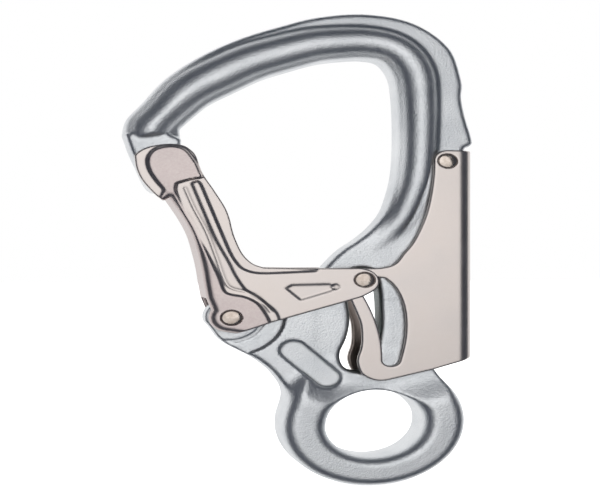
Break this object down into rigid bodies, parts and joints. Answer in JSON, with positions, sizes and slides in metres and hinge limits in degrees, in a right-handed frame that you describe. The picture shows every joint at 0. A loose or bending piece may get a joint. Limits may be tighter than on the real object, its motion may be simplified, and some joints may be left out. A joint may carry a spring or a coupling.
{
  "type": "snap hook",
  "caption": "Double-action steel snap hook with a forged eye, a sprung pressed-steel gate and a locking lever on the back of the hook.",
  "frame": {"origin": "centre of the eye hole, in the middle of the hook's thickness", "axes": "+X to the right across the hook from gate to lever, +Y through the thickness away from the shown face, +Z from the eye to the crown; gate closed"},
  "size_m": [0.0692, 0.0126, 0.1368],
  "materials": {
    "forged_zinc": "zinc plated forged steel, satin, fine forging grain",
    "pressed_stainless": "tumbled stainless sheet, satin",
    "rivet_steel": "stainless rivet, peened flush and polished",
    "spring_steel": "drawn stainless spring wire"
  },
  "bodies": {
    "hook": {"hook_body": "forged_zinc", "gate_spring": "spring_steel", "lever_spring": "spring_steel"},
    "gate": {"gate": "pressed_stainless", "gate_pivot_pin": "rivet_steel", "lock_pin": "rivet_steel"},
    "lever": {"lever": "pressed_stainless", "lever_pivot_pin": "rivet_steel"}
  },
  "joints": [
    {"name": "gate_pivot", "type": "hinge", "parent": "hook", "child": "gate", "pos_m": [-0.0284, 0, 0.0311], "axis": [0, 1, 0], "range_deg": [0, 45], "stiffness_Nm_per_rad": 0.15, "springref_deg": -34.38, "deforming": ["gate_spring"]},
    {"name": "lever_pivot", "type": "hinge", "parent": "hook", "child": "lever", "pos_m": [0.0148, 0, 0.0752], "axis": [0, 1, 0], "range_deg": [0, 6.3], "stiffness_Nm_per_rad": 0.2, "springref_deg": -22.92, "deforming": ["lever_spring"]}
  ],
  "couplings": [
    {"joint": "lever_pivot", "follows": "gate_pivot", "ratio": 0.14}
  ]
}
